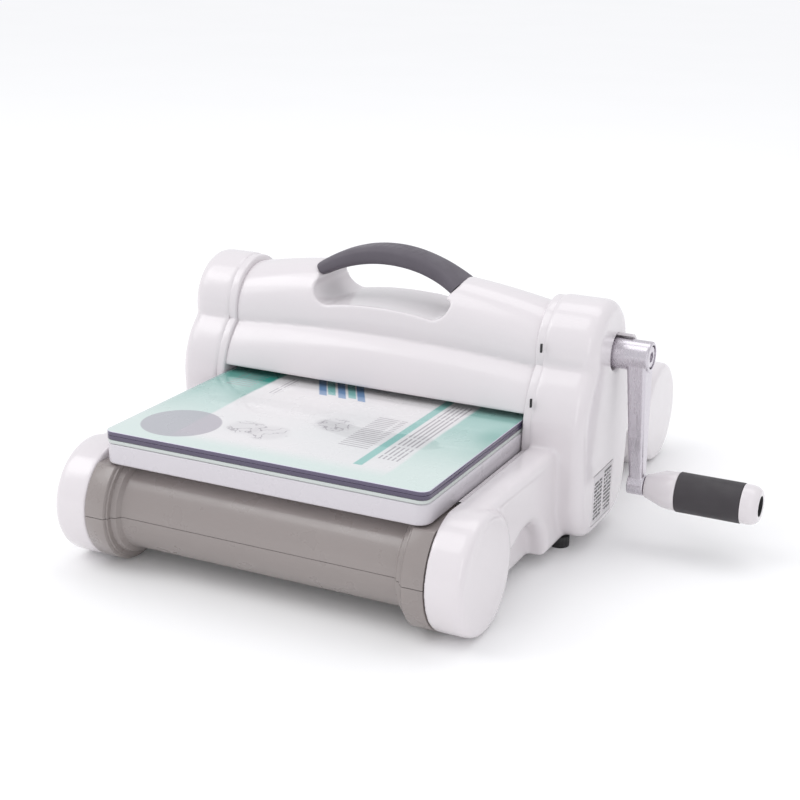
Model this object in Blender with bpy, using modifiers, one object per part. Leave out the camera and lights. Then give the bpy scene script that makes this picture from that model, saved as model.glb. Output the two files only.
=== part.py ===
"""A hand-cranked die-cutting machine: two rollers squeeze a sliding platform between them.

Frame: +X towards the crank, +Y to the back, +Z up. The origin is the centre of the base
plate's underside. Sizes below are in millimetres, and MM turns them into metres.
"""

import math

import bmesh
import bpy
from mathutils import Matrix, Vector

MM = 0.001
GAP = 0.3  # clearance between neighbouring solids
FLAT_ANGLE = math.radians(0.1)  # faces flatter than this to each other are one face

# Side casings: a snowman-shaped tower over a long foot that ends in a round cap at each end.
SEAM_X = 120.8  # inner rim of the casings
LEFT_OUT, RIGHT_OUT = 153.0, 159.0  # outer faces of the two towers
LOBE_LOW_Z, LOBE_LOW_R = 85.0, 53.5
LOBE_TOP_Z, LOBE_TOP_R = 131.8, 35.2
TOWER_BOTTOM, TOWER_CORNER, TOWER_HALF = 4.0, 34.0, 50.0
WALL = 2.6
RIM_ROUND = 9.0
ROLL_Y, ROLL_Z = 175.7, 35.4  # centres of the front and rear roll covers
CAP_R, CAP_OUT = 39.2, 146.0
ARM_OUT, SKIRT_Z = 142.0, 3.0
LIP = 0.4  # step around the casing's open side
SCALLOP_Y, SCALLOP_Z, SCALLOP_R = 101.0, 2.0, 35.5
TIE_R = 5.0

# Grey roll covers between the caps.
ROLL_R, ROLL_WALL = 29.5, 3.0
FLANGE_X, FLANGE_FLAT_Z = 100.0, 66.9

# Top cover, arched along X, with a finger hole under the grip.
COVER_EDGE_Z, COVER_X, COVER_INSET = 94.9, 116.8, 2.6
ARCH_X, ARCH_TOP, ARCH_DROP, ARCH_SPAN = -5.0, 1.125, 0.18, 117.0
HOLE_LEFT, HOLE_RIGHT, HOLE_Z, HOLE_CORNER, HOLE_BOW = -56.0, 49.5, 144.5, 12.0, 3.5
GRIP_LEFT, GRIP_RIGHT, GRIP_HALF_Y = -60.0, 50.5, 14.0
GRIP_TOP_R, GRIP_UNDER_R = 95.0, 105.0
GRIP_TOP_Z, GRIP_UNDER_Z, GRIP_MID_X = 186.5, 172.8, -6.5

# Rollers and their gears.
ROLLER_R, ROLLER_HALF, SHAFT_R = 18.6, 116.0, 8.0
LOWER_Z, UPPER_Z = 49.35, 109.35
GEAR_IN, GEAR_OUT = 128.0, 138.0
TIMING_MODULE, TIMING_TEETH = 1.5, 40
DRIVE_MODULE, DRIVE_TEETH, PINION_TEETH = 1.1, 28, 12

# Sliding platform and what it carries.
PLATFORM_HALF_X, PLATFORM_FRONT, PLATFORM_LENGTH = 115.2, -199.6, 385.0
PLATFORM_Z = (68.3, 82.0)
ADAPTER_Z = (82.3, 84.6)
LOWER_PAD_Z = (84.9, 87.4)
CARD_Z = (87.7, 88.1)
UPPER_PAD_Z = (88.4, 90.4)
PAD_HALF_X = 114.7

# Crank.
CRANK_Y = 10.0
CENTRE_DISTANCE = DRIVE_MODULE * (DRIVE_TEETH + PINION_TEETH) / 2
CRANK_Z = UPPER_Z + math.sqrt(CENTRE_DISTANCE**2 - CRANK_Y**2)
CRANK_THROW = 92.0
HUB_R, HUB_FACE = 10.6, 183.4
ARM_TOP_X, ARM_TOP_HALF_Y = (168.3, 181.7), 9.5
ARM_LOW_X, ARM_LOW_HALF_Y = (174.2, 184.1), 4.6
KNUCKLE_X, KNUCKLE_R = (173.4, 185.2), 7.2
CRANK_SHAFT_R = 3.6
KNOB_START, GRIP_START, GRIP_END, KNOB_END = 185.9, 208.6, 253.4, 265.4
KNOB_R_SMALL, KNOB_R_BIG, SPINDLE_R = 8.2, 13.6, 3.5

# Base, side plates, feet.
BASE_HALF_X, BASE_HALF_Y, BASE_THICK = 112.0, 100.0, 3.0
PANEL_X = (117.2, 120.5)
PLATE_X = (124.0, 127.4)
BUSH_R = 11.5
FOOT_BOTTOM, STEM_R, STEM_TOP = -5.0, 3.0, 12.0
MIDDLE_FOOT, OUTER_FOOT = (136.0, 22.0, 7.0), (125.4, 131.0, 4.5)  # X, Y and radius

COLOURS = {
    "white_plastic": ((0.84, 0.81, 0.83), 0.28, 0.0),
    "grey_plastic": ((0.36, 0.33, 0.31), 0.4, 0.0),
    "dark_grip": ((0.11, 0.10, 0.12), 0.7, 0.0),
    "steel": ((0.45, 0.46, 0.48), 0.35, 1.0),
    "satin_metal": ((0.55, 0.53, 0.56), 0.32, 0.9),
    "bronze": ((0.52, 0.36, 0.18), 0.35, 1.0),
    "black_rubber": ((0.02, 0.02, 0.02), 0.8, 0.0),
    "platform_plastic": ((0.74, 0.72, 0.80), 0.35, 0.0),
    "pad_plastic": ((0.13, 0.10, 0.20), 0.1, 0.0),
    "printed_card": ((0.62, 0.80, 0.76), 0.5, 0.0),
    "gear_plastic": ((0.70, 0.68, 0.62), 0.5, 0.0),
}

AXIS_TO_X = Matrix(((0, 0, 1, 0), (0, 1, 0, 0), (-1, 0, 0, 0), (0, 0, 0, 1)))
OUTLINE_TO_YZ = Matrix(((0, 0, 1, 0), (1, 0, 0, 0), (0, 1, 0, 0), (0, 0, 0, 1)))
OUTLINE_TO_XZ = Matrix(((1, 0, 0, 0), (0, 0, -1, 0), (0, 1, 0, 0), (0, 0, 0, 1)))

for old in list(bpy.data.objects):
    bpy.data.objects.remove(old)

parts = bpy.data.collections.new("die_cutting_machine")
cutters = bpy.data.collections.new("cutters")
bpy.context.scene.collection.children.link(parts)
bpy.context.scene.collection.children.link(cutters)
cutters.hide_render = True


# ---------------------------------------------------------------- helpers

def finish_of(name):
    """The Principled material of this finish, made once."""
    if name in bpy.data.materials:
        return bpy.data.materials[name]
    colour, roughness, metallic = COLOURS[name]
    made = bpy.data.materials.new(name)
    made.use_nodes = True
    shader = made.node_tree.nodes["Principled BSDF"]
    shader.inputs["Base Color"].default_value = (*colour, 1.0)
    shader.inputs["Roughness"].default_value = roughness
    shader.inputs["Metallic"].default_value = metallic
    return made


def place(name, mesh, finish, origin=(0, 0, 0)):
    """An object with its origin at this point; the mesh comes in millimetres of the row frame."""
    mesh.transform(Matrix.Scale(MM, 4) @ Matrix.Translation(-Vector(origin)))
    mesh.shade_smooth()
    mesh.set_sharp_from_angle(angle=math.radians(32))
    obj = bpy.data.objects.new(name, mesh)
    obj.location = Vector(origin) * MM
    file_away(obj, finish)
    return obj


def file_away(obj, finish):
    """Puts a part with its finish among the parts, and one with no finish among the cutters."""
    if finish is None:
        obj.hide_render = True
        obj.display_type = "WIRE"
        cutters.objects.link(obj)
    else:
        obj.data.materials.append(finish_of(finish))
        parts.objects.link(obj)


def mesh_of(bm, name):
    mesh = bpy.data.meshes.new(name)
    bmesh.ops.recalc_face_normals(bm, faces=bm.faces)
    bm.to_mesh(mesh)
    bm.free()
    return mesh


def box(name, low, high, finish, bevel=0.0, origin=(0, 0, 0)):
    """A box between two corners, with its edges rounded by a Bevel."""
    bm = bmesh.new()
    bmesh.ops.create_cube(bm, size=1.0)
    size = [b - a for a, b in zip(low, high)]
    middle = [(a + b) / 2 for a, b in zip(low, high)]
    bmesh.ops.transform(bm, verts=bm.verts, matrix=Matrix.Translation(middle) @ Matrix.Diagonal((*size, 1)))
    obj = place(name, mesh_of(bm, name), finish, origin)
    if bevel:
        round_edges(obj, bevel, 2)
    return obj


def round_edges(obj, width, segments, weighted=False):
    bevel = obj.modifiers.new("rounding", "BEVEL")
    bevel.width = width * MM
    bevel.segments = segments
    bevel.limit_method = "WEIGHT" if weighted else "ANGLE"
    bevel.angle_limit = math.radians(40)
    bevel.use_clamp_overlap = False


def rod(name, start_x, end_x, radius, y, z, finish, sides=20):
    """A cylinder along X, with its origin on its axis."""
    bm = bmesh.new()
    bmesh.ops.create_cone(
        bm,
        cap_ends=True,
        segments=sides,
        radius1=radius,
        radius2=radius,
        depth=end_x - start_x,
    )
    move = Matrix.Translation(((start_x + end_x) / 2, y, z)) @ AXIS_TO_X
    bmesh.ops.transform(bm, verts=bm.verts, matrix=move)
    return place(name, mesh_of(bm, name), finish, (0, y, z))


def upright_rod(name, x, y, bottom, top, radius, finish, sides=16):
    bm = bmesh.new()
    bmesh.ops.create_cone(bm, cap_ends=True, segments=sides, radius1=radius, radius2=radius, depth=top - bottom)
    bmesh.ops.translate(bm, verts=bm.verts, vec=(x, y, (bottom + top) / 2))
    return place(name, mesh_of(bm, name), finish)


def turned(name, profile, y, z, finish, sides=24):
    """A Screw about the line along X at (y, z). The profile's (x, radius) points run down the outer side."""
    closed = min(r for _, r in profile) > 0
    bm = bmesh.new()
    points = [bm.verts.new((r * MM, 0, x * MM)) for x, r in profile]
    for first, second in zip(points, points[1:]):
        bm.edges.new((first, second))
    if closed:
        bm.edges.new((points[-1], points[0]))
    mesh = bpy.data.meshes.new(name)
    bm.to_mesh(mesh)
    bm.free()
    obj = bpy.data.objects.new(name, mesh)
    obj.matrix_world = Matrix.Translation((0, y * MM, z * MM)) @ AXIS_TO_X
    screw = obj.modifiers.new("turning", "SCREW")
    screw.steps = screw.render_steps = sides
    screw.use_merge_vertices = True
    screw.merge_threshold = 1e-6
    screw.use_smooth_shade = True
    file_away(obj, finish)
    return obj


def slab(name, outline, start, end, finish, plane=OUTLINE_TO_YZ, origin=(0, 0, 0)):
    """A flat outline extruded between two positions along the plane's normal, made a mesh for cutting."""
    curve = bpy.data.curves.new(name, "CURVE")
    curve.dimensions = "2D"
    curve.fill_mode = "BOTH"
    curve.extrude = abs(end - start) / 2
    spline = curve.splines.new("POLY")
    spline.points.add(len(outline) - 1)
    spline.use_cyclic_u = True
    for point, (a, b) in zip(spline.points, outline):
        point.co = (a, b, 0, 1)
    guide = bpy.data.objects.new(name + "_outline", curve)
    cutters.objects.link(guide)
    bpy.context.view_layer.update()
    solid = bpy.data.meshes.new_from_object(guide.evaluated_get(bpy.context.evaluated_depsgraph_get()))
    bpy.data.objects.remove(guide)
    bm = bmesh.new()
    bm.from_mesh(solid)
    bmesh.ops.remove_doubles(bm, verts=bm.verts, dist=1e-4)
    bmesh.ops.dissolve_limit(bm, angle_limit=FLAT_ANGLE, verts=bm.verts, edges=bm.edges)
    normal = plane.to_3x3() @ Vector((0, 0, 1))
    move = Matrix.Translation(normal * (start + end) / 2 * (1 if sum(normal) > 0 else -1)) @ plane
    bmesh.ops.transform(bm, verts=bm.verts, matrix=move)
    return place(name, mesh_of(bm, name), finish, origin)


def weigh_rim(obj, x):
    """Marks the edges of the face at this X for a weighted Bevel."""
    mesh = obj.data
    weights = mesh.attributes.new("bevel_weight_edge", "FLOAT", "EDGE")
    for edge in mesh.edges:
        ends = [mesh.vertices[i].co.x for i in edge.vertices]
        weights.data[edge.index].value = float(all(abs(e - x * MM) < 1e-5 for e in ends))


def combine(obj, other, operation="DIFFERENCE", solver="EXACT"):
    step = obj.modifiers.new(operation.lower(), "BOOLEAN")
    step.operation = operation
    step.solver = solver
    step.object = other


def arc(centre, radius, start_deg, end_deg, steps):
    for k in range(steps + 1):
        angle = math.radians(start_deg + (end_deg - start_deg) * k / steps)
        yield centre[0] + radius * math.cos(angle), centre[1] + radius * math.sin(angle)


# ---------------------------------------------------------------- outlines

def waist(inset):
    """(half depth, height) where the two lobes of the tower's outline meet."""
    low, top = LOBE_LOW_R - inset, LOBE_TOP_R - inset
    apart = LOBE_TOP_Z - LOBE_LOW_Z
    up = (apart**2 + low**2 - top**2) / (2 * apart)
    return math.sqrt(low**2 - up**2), LOBE_LOW_Z + up


def lobes(inset, lowest=None):
    """The two-lobed outline from its lowest rear point, over the top, to its lowest front point."""
    half, height = waist(inset)
    low, top = LOBE_LOW_R - inset, LOBE_TOP_R - inset
    low_start = 0.0 if lowest is None else math.degrees(math.asin((lowest - LOBE_LOW_Z) / low))
    low_end = math.degrees(math.atan2(height - LOBE_LOW_Z, half))
    top_start = math.degrees(math.atan2(height - LOBE_TOP_Z, half))
    rear = list(arc((0, LOBE_LOW_Z), low, low_start, low_end, 6))[:-1]
    over = list(arc((0, LOBE_TOP_Z), top, top_start, 180 - top_start, 16))
    front = list(arc((0, LOBE_LOW_Z), low, 180 - low_end, 180 - low_start, 6))[1:]
    return rear + over + front


def snowman(inset):
    """The whole tower outline, with its rounded foot, in (y, z)."""
    radius = TOWER_CORNER - inset
    inner = TOWER_HALF - TOWER_CORNER
    base = TOWER_BOTTOM + TOWER_CORNER
    front = list(arc((-inner, base), radius, 180, 270, 6))
    rear = list(arc((inner, base), radius, -90, 0, 6))
    return lobes(inset) + front + rear


def stadium(inset):
    """The long foot from cap to cap, in (y, z)."""
    radius = CAP_R - inset
    front = list(arc((-ROLL_Y, ROLL_Z), radius, 90, 270, 16))
    rear = list(arc((ROLL_Y, ROLL_Z), radius, -90, 90, 16))
    return front + rear


def mirrored_ends(front):
    """The points of the front half, and the same points mirrored to the rear in reverse order."""
    return front + [(-y, z) for y, z in reversed(front)]


def panel_outline():
    """The inner panel: the tower's lobes over a long beam that stops short of the round roll covers."""
    low, high, radius = SKIRT_Z + 1, ROLL_Z + CAP_R - WALL - 1, CAP_R + 0.8
    start, end = (math.degrees(math.asin((z - ROLL_Z) / radius)) for z in (high, low))
    front = [(-TOWER_HALF - 2, high)] + list(arc((-ROLL_Y, ROLL_Z), radius, start, end, 8))
    return lobes(1.4) + mirrored_ends(front)


def plate_outline():
    """The steel side plate: a smaller tower over a rail that reaches both tie rods."""
    rail_low, rail_high, rail_end, foot_half, foot = 18, 52, ROLL_Y + 14, 36, 13
    front = [(-TOWER_HALF + 8, rail_high), (-rail_end, rail_high), (-rail_end, rail_low), (-foot_half, rail_low),
             (-foot_half, foot)]
    return lobes(9.0) + mirrored_ends(front)


def gear_outline(y, z, module, teeth, tooth_at_deg):
    """Trapezoid teeth with 20 degree flanks, thinned a little for backlash, one centred at the given angle."""
    pitch_r = module * teeth / 2
    rings = ((pitch_r - 1.2 * module, -1.2), (pitch_r + 0.9 * module, 0.9))
    half_pitch_tooth = math.pi * module / 4 * 0.84
    halves = [(r, (half_pitch_tooth - rise * module * math.tan(math.radians(20))) / r) for r, rise in rings]
    outline = []
    for k in range(teeth):
        middle = math.radians(tooth_at_deg) + 2 * math.pi * k / teeth
        (root_r, root_half), (tip_r, tip_half) = halves
        for radius, angle in ((root_r, -root_half), (tip_r, -tip_half), (tip_r, tip_half), (root_r, root_half)):
            outline.append((y + radius * math.cos(middle + angle), z + radius * math.sin(middle + angle)))
    return outline


# ---------------------------------------------------------------- top cover and grip

def arch(x):
    """How much the cover is stretched upwards at this X."""
    return ARCH_TOP - ARCH_DROP * ((x - ARCH_X) / ARCH_SPAN) ** 2


def arched_loft(name, inset, half_length, lowest):
    """A closed loft of the two-lobed section along X, stretched upwards by the arch."""
    stations = 12
    rings = []
    bm = bmesh.new()
    for k in range(stations + 1):
        x = half_length * (2 * k / stations - 1)
        ring = [
            bm.verts.new((x, y, COVER_EDGE_Z + (z - COVER_EDGE_Z) * (arch(x) if z > COVER_EDGE_Z else 1.0)))
            for y, z in lobes(inset, lowest)
        ]
        rings.append(ring)
    for first, second in zip(rings, rings[1:]):
        for k in range(len(first)):
            following = (k + 1) % len(first)
            bm.faces.new((first[k], first[following], second[following], second[k]))
    bm.faces.new(rings[0])
    bm.faces.new(rings[-1])
    return place(name, mesh_of(bm, name), "white_plastic" if name == "top_cover" else None)


def grip_outline(gap):
    """The arched grip in (x, z), swelled by the gap."""
    top = (GRIP_MID_X, GRIP_TOP_Z - GRIP_TOP_R)
    under = (GRIP_MID_X, GRIP_UNDER_Z - GRIP_UNDER_R)
    ends = GRIP_LEFT - gap, GRIP_RIGHT + gap
    inner_ends = ends[0] + 4.0, ends[1] - 4.0
    over = [math.degrees(math.acos((x - top[0]) / (GRIP_TOP_R + gap))) for x in ends]
    below = [math.degrees(math.acos((x - under[0]) / (GRIP_UNDER_R - gap))) for x in inner_ends]
    return list(arc(top, GRIP_TOP_R + gap, over[1], over[0], 10)) + list(
        arc(under, GRIP_UNDER_R - gap, below[0], below[1], 10)
    )


def hole_outline():
    """The finger hole and the gap for the grip above it, in (x, z)."""
    centre_left = (HOLE_LEFT + HOLE_CORNER, HOLE_Z + HOLE_CORNER)
    centre_right = (HOLE_RIGHT - HOLE_CORNER, HOLE_Z + HOLE_CORNER)
    half = (centre_right[0] - centre_left[0]) / 2
    bow_r = (half**2 + HOLE_BOW**2) / (2 * HOLE_BOW)
    middle = (centre_left[0] + half, HOLE_Z + HOLE_BOW - bow_r)
    spread = math.degrees(math.asin(half / bow_r))
    seat = grip_outline(GAP)
    over_start, over_end, under_start, under_end = seat[0], seat[10], seat[11], seat[-1]
    outline = list(arc(centre_left, HOLE_CORNER, 180, 270, 5))[:-1]
    outline += list(arc(middle, bow_r, 90 + spread, 90 - spread, 8))
    outline += list(arc(centre_right, HOLE_CORNER, -90, 0, 5))[1:]
    outline += [under_end, over_start, (over_start[0] + 2, 200.0), (over_end[0] - 2, 200.0), over_end, under_start]
    return outline


def make_cover():
    cover = arched_loft("top_cover", COVER_INSET, COVER_X, COVER_EDGE_Z)
    hollow = arched_loft("cover_hollow", COVER_INSET + WALL, COVER_X + 5, COVER_EDGE_Z - 8)
    scoop = box("cover_scoop", (HOLE_LEFT - 6, -60, HOLE_Z - 3), (HOLE_RIGHT + 6, 60, 200), None)
    combine(hollow, scoop)
    combine(cover, hollow)
    combine(cover, slab("cover_hole", hole_outline(), -60, 60, None, OUTLINE_TO_XZ))
    grip = slab("handle_grip", grip_outline(0), -GRIP_HALF_Y, GRIP_HALF_Y, "dark_grip", OUTLINE_TO_XZ)
    round_edges(grip, 4.0, 2)


# ---------------------------------------------------------------- casings and panels

def make_casing(side, outer_x):
    """One outer casing: tower, foot and both caps, open towards the middle of the machine."""
    name = "right" if side > 0 else "left"
    seam, out = side * SEAM_X, side * outer_x

    def cut(cutter):
        combine(casing, cutter, solver="MANIFOLD")  # EXACT leaves open edges on these long thin faces

    def rounded(label, outline, reach, rounding, finish=None):
        solid = slab(label, outline, seam, side * reach, finish)
        weigh_rim(solid, side * reach)
        round_edges(solid, rounding, 4, weighted=True)
        return solid

    casing = rounded(f"{name}_casing", snowman(0), outer_x, RIM_ROUND, "white_plastic")
    foot = rounded(f"{name}_foot_outer", stadium(0), ARM_OUT, RIM_ROUND)
    combine(foot, box(f"{name}_skirt_cut", (-200, -ROLL_Y + 25, -20), (200, ROLL_Y - 25, SKIRT_Z), None))
    combine(casing, foot, "UNION", "MANIFOLD")
    for y in (-ROLL_Y, ROLL_Y):
        cap_outline = list(arc((y, ROLL_Z), CAP_R, 0, 345, 23))
        combine(casing, rounded(f"{name}_cap_{y:+.0f}", cap_outline, CAP_OUT, RIM_ROUND - 1), "UNION", "MANIFOLD")
    inside = seam - side * 5
    cut(slab(f"{name}_tower_hollow", snowman(WALL), inside, out - side * WALL, None))
    foot_hollow = slab(f"{name}_foot_hollow", stadium(WALL), seam + side * WALL, side * (ARM_OUT - WALL), None)
    combine(foot_hollow, box(f"{name}_skirt_keep", (-200, -ROLL_Y + 24, -20), (200, ROLL_Y - 24, SKIRT_Z + WALL), None))
    cut(foot_hollow)
    reach, top = ROLL_Y - CAP_R - 2, ROLL_Z + CAP_R - WALL - LIP
    low_x, high_x = sorted((inside, seam + side * (WALL + 1)))
    cut(box(f"{name}_foot_mouth", (low_x, -reach, SKIRT_Z + WALL + LIP), (high_x, reach, top), None))
    for y in (-ROLL_Y, ROLL_Y):
        across = sorted((side * 110, side * 125))
        cut(rod(f"{name}_cap_hole_{y:+.0f}", *across, TIE_R + GAP, y, ROLL_Z, None))
    for y in (-SCALLOP_Y, SCALLOP_Y):
        across = sorted((side * 130, side * 170))
        cut(rod(f"{name}_scallop_{y:+.0f}", *across, SCALLOP_R, y, SCALLOP_Z, None, 34))
    if side > 0:
        cut(rod("hub_hole", 148, 170, HUB_R + 1.6, CRANK_Y, CRANK_Z, None))
    for foot_x, foot_y, _ in (MIDDLE_FOOT, OUTER_FOOT):
        for y in (-foot_y, foot_y):
            cut(upright_rod(f"{name}_foot_hole_{y:+.0f}", side * foot_x, y, -10, STEM_TOP + 1, STEM_R + GAP, None))


def make_side_walls(side):
    """The white inner panel that the platform passes, and the steel plate that carries the rollers."""
    name = "right" if side > 0 else "left"
    panel = slab(f"{name}_inner_panel", panel_outline(), side * PANEL_X[0], side * PANEL_X[1], "white_plastic")
    plate = slab(f"{name}_side_plate", plate_outline(), side * PLATE_X[0], side * PLATE_X[1], "steel")
    for z in (LOWER_Z, UPPER_Z):
        level = "upper" if z == UPPER_Z else "lower"
        across = sorted((side * 110, side * 150))
        combine(panel, rod(f"{name}_{level}_panel_hole", *across, SHAFT_R + 2, 0, z, None))
        combine(plate, rod(f"{name}_{level}_plate_hole", *across, BUSH_R + GAP, 0, z, None), solver="MANIFOLD")
        bush = sorted((side * (PLATE_X[0] - 1), side * (PLATE_X[1] + 0.2)))
        ring = [(bush[1], BUSH_R), (bush[0], BUSH_R), (bush[0], SHAFT_R + GAP), (bush[1], SHAFT_R + GAP)]
        turned(f"{name}_{level}_bushing", ring, 0, z, "bronze", 20)
    if side > 0:
        combine(plate, rod("pinion_bush_hole", 110, 150, 7.0 + GAP, CRANK_Y, CRANK_Z, None))
        ring = [(PLATE_X[1], 7), (PLATE_X[0], 7), (PLATE_X[0], CRANK_SHAFT_R + GAP), (PLATE_X[1], CRANK_SHAFT_R + GAP)]
        turned("crank_bushing", ring, CRANK_Y, CRANK_Z, "bronze", 16)
    for y in (-ROLL_Y, ROLL_Y):
        combine(plate, rod(f"{name}_tie_hole_{y:+.0f}", *sorted((side * 110, side * 150)), TIE_R + GAP, y, ROLL_Z, None))


def make_base():
    base = box("base_plate", (-BASE_HALF_X, -BASE_HALF_Y, 0), (BASE_HALF_X, BASE_HALF_Y, BASE_THICK), "steel")
    for x in (-BASE_HALF_X + 10, BASE_HALF_X - 10):
        for y in (-BASE_HALF_Y + 12, BASE_HALF_Y - 12):
            side = ("left" if x < 0 else "right") + ("_front" if y < 0 else "_rear")
            combine(base, upright_rod(f"{side}_screw_hole", x, y, -5, 10, 2.3, None))
            screw = upright_rod(f"{side}_base_screw", x, y, 0.6, 10.0, 2.0, "steel", 12)
            head = upright_rod(f"{side}_screw_head", x, y, BASE_THICK + GAP, 6.0, 4.0, None, 12)
            combine(screw, head, "UNION")
    for side, end in ((-1, -1), (-1, 1), (1, -1), (1, 1)):
        place_name = ("left" if side < 0 else "right") + ("_front" if end < 0 else "_rear")
        for kind, (x, y, radius) in (("foot", MIDDLE_FOOT), ("outer_foot", OUTER_FOOT)):
            label, at = f"{place_name}_{kind}", (side * x, end * y)
            foot = upright_rod(label, *at, FOOT_BOTTOM, SKIRT_Z - GAP, radius, "black_rubber")
            combine(foot, upright_rod(f"{label}_stem", *at, FOOT_BOTTOM + 1, STEM_TOP, STEM_R, None), "UNION")


def make_roll(y, name):
    """A grey roll cover in an upper and a lower half, held by a tie rod."""
    step = 2.0
    outer = [
        (SEAM_X - GAP, CAP_R), (FLANGE_X + 6, CAP_R), (FLANGE_X + 4, CAP_R - step), (FLANGE_X + 4, CAP_R - 5),
        (FLANGE_X, CAP_R - 6), (FLANGE_X - 2, ROLL_R),
    ]
    mirrored = [(-x, r) for x, r in reversed(outer)]
    inner_r = ROLL_R - ROLL_WALL
    profile = outer + mirrored + [(-SEAM_X + GAP, inner_r), (SEAM_X - GAP, inner_r)]
    for half, low, high in (("upper", ROLL_Z + GAP / 2, 90.0), ("lower", -20.0, ROLL_Z - GAP / 2)):
        shell = turned(f"{name}_roll_{half}", profile, y, ROLL_Z, "grey_plastic", 32)
        keep = box(f"{name}_{half}_keep", (-200, y - 60, low), (200, y + 60, min(high, FLANGE_FLAT_Z)), None)
        combine(shell, keep, "INTERSECT")
    rod(f"{name}_tie_rod", -PLATE_X[1] - 6, PLATE_X[1] + 6, TIE_R, y, ROLL_Z, "steel", 20)


# ---------------------------------------------------------------- rollers and gears

def gear(name, y, z, module, teeth, tooth_at, start, end, bore, finish):
    wheel = slab(name, gear_outline(y, z, module, teeth, tooth_at), start, end, finish, origin=(0, y, z))
    hole = rod(f"{name}_bore", min(start, end) - 2, max(start, end) + 2, bore + GAP, y, z, None, 20)
    combine(wheel, hole)


def make_rollers():
    for level, z in (("upper", UPPER_Z), ("lower", LOWER_Z)):
        end = GEAR_OUT + 3
        left = [(-ROLLER_HALF, ROLLER_R), (-ROLLER_HALF, SHAFT_R), (-end, SHAFT_R), (-end, 0)]
        right = [(-x, r) for x, r in reversed(left)]
        turned(f"{level}_roller", right + left, 0, z, "steel", 32)
    gear("lower_timing_gear", 0, LOWER_Z, TIMING_MODULE, TIMING_TEETH, 90, -GEAR_OUT, -GEAR_IN, SHAFT_R, "gear_plastic")
    gear("upper_timing_gear", 0, UPPER_Z, TIMING_MODULE, TIMING_TEETH, 270 + 180 / TIMING_TEETH,
         -GEAR_OUT, -GEAR_IN, SHAFT_R, "gear_plastic")
    towards = math.degrees(math.atan2(CRANK_Z - UPPER_Z, CRANK_Y))
    gear("drive_gear", 0, UPPER_Z, DRIVE_MODULE, DRIVE_TEETH, towards, GEAR_IN, GEAR_OUT, SHAFT_R, "gear_plastic")
    gear("crank_pinion", CRANK_Y, CRANK_Z, DRIVE_MODULE, PINION_TEETH, towards + 180 + 180 / PINION_TEETH,
         GEAR_IN, GEAR_OUT, CRANK_SHAFT_R, "steel")


# ---------------------------------------------------------------- crank and knob

def make_crank():
    knob_z = CRANK_Z - CRANK_THROW
    axis = (0, CRANK_Y, CRANK_Z)
    rod("crank_shaft", PLATE_X[0] - 2, HUB_FACE - 9, CRANK_SHAFT_R, CRANK_Y, CRANK_Z, "steel", 20)
    bm = bmesh.new()
    bmesh.ops.create_cube(bm, size=1.0)
    for vert in bm.verts:
        high = vert.co.z > 0
        half_y = ARM_TOP_HALF_Y if high else ARM_LOW_HALF_Y
        ends = ARM_TOP_X if high else ARM_LOW_X
        vert.co = (
            ends[vert.co.x > 0],
            CRANK_Y + half_y * (1 if vert.co.y > 0 else -1),
            CRANK_Z if high else knob_z,
        )
    arm = place("crank_arm", mesh_of(bm, "crank_arm"), "satin_metal", axis)
    round_edges(arm, 1.6, 2)
    combine(arm, rod("crank_hub", 150, HUB_FACE, HUB_R, CRANK_Y, CRANK_Z, None, 32), "UNION")
    combine(arm, rod("crank_knuckle", *KNUCKLE_X, KNUCKLE_R, CRANK_Y, knob_z, None, 24), "UNION")
    combine(arm, rod("crank_hub_bore", 140, HUB_FACE - 8.5, CRANK_SHAFT_R + GAP, CRANK_Y, CRANK_Z, None, 20))
    combine(arm, rod("crank_hub_socket", HUB_FACE - 3.5, 200, 8.4, CRANK_Y, CRANK_Z, None, 32))
    combine(arm, rod("crank_spindle_bore", ARM_TOP_X[0], 200, SPINDLE_R + GAP, CRANK_Y, knob_z, None, 20))
    screw = rod("hub_screw", HUB_FACE - 3.2, HUB_FACE - 0.6, 7.6, CRANK_Y, CRANK_Z, "steel", 24)
    combine(screw, rod("hub_screw_socket", HUB_FACE - 2.4, 200, 3.6, CRANK_Y, CRANK_Z, None, 6))
    rod("knob_spindle", KNUCKLE_X[0] + 0.8, GRIP_END + 4, SPINDLE_R, CRANK_Y, knob_z, "steel", 20)


def make_knob():
    knob_z = CRANK_Z - CRANK_THROW
    bore = SPINDLE_R + GAP
    core_r = KNOB_R_BIG - 3.0
    sleeve = [
        (GRIP_END, core_r), (GRIP_START, core_r), (GRIP_START, KNOB_R_BIG), (GRIP_START - 10, KNOB_R_BIG - 0.9),
        (KNOB_START, KNOB_R_SMALL), (KNOB_START, bore), (GRIP_END, bore),
    ]
    turned("knob_sleeve", sleeve, CRANK_Y, knob_z, "white_plastic")
    skin = [
        (GRIP_END, KNOB_R_BIG + 0.3), (GRIP_START + GAP, KNOB_R_BIG + 0.3), (GRIP_START + GAP, core_r + GAP),
        (GRIP_END, core_r + GAP),
    ]
    turned("knob_grip", skin, CRANK_Y, knob_z, "dark_grip")
    face_r, recess_r = KNOB_R_BIG - 4.6, 7.2
    rounded = [(KNOB_END - 8 + 8 * math.sin(t), face_r + 4.6 * math.cos(t))
               for t in (math.radians(a) for a in (90, 65, 40, 20, 0))]
    recess = [(KNOB_END - 4, 0), (KNOB_END - 4, recess_r), (KNOB_END, recess_r)]
    socket_r, socket_end = SPINDLE_R + 1.5, GRIP_END + 5
    seat = [(GRIP_END + GAP, KNOB_R_BIG), (GRIP_END + GAP, socket_r), (socket_end, socket_r), (socket_end, 0)]
    turned("knob_cap", recess + rounded + seat, CRANK_Y, knob_z, "white_plastic")


# ---------------------------------------------------------------- platform

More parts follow.
